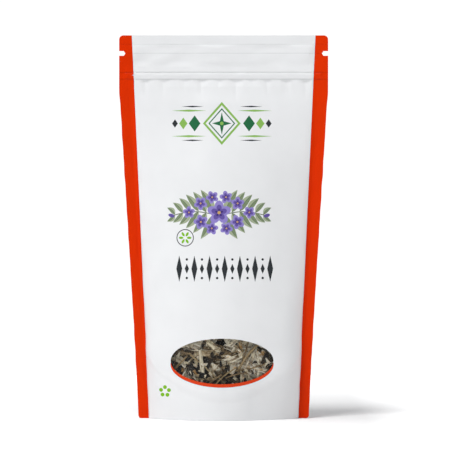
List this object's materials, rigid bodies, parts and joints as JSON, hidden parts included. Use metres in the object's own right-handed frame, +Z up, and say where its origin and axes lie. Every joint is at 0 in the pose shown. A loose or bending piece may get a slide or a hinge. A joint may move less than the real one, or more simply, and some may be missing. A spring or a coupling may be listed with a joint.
{
  "type": "stand-up pouch of dried sage",
  "caption": "Sealed stand-up film pouch with a bottom gusset, a press-to-close zipper, tear notches and an oval window, filled with cut dried sage leaves.",
  "frame": {"origin": "on the floor, at the middle of the footprint", "axes": "+Z up, the front with the window facing -Y, +X to the right seen from the front"},
  "size_m": [0.15, 0.0734, 0.275],
  "materials": {
    "white_film": "white laminate film with a satin sheen; both side edges and the rim under the window are printed orange red, with a pale blue hairline",
    "gusset_film": "plain white laminate film, satin",
    "window_film": "clear glossy film",
    "zipper": "milky translucent polyethylene",
    "dried_sage": "dry, matt, downy cut leaves in grey green, olive and brown, with tan stems"
  },
  "bodies": {
    "root": {"front_panel": "white_film", "back_panel": "white_film", "bottom_gusset": "gusset_film", "window_film": "window_film", "zipper_channel": "zipper", "zipper_rib": "zipper", "dried_sage": "dried_sage"}
  },
  "joints": []
}
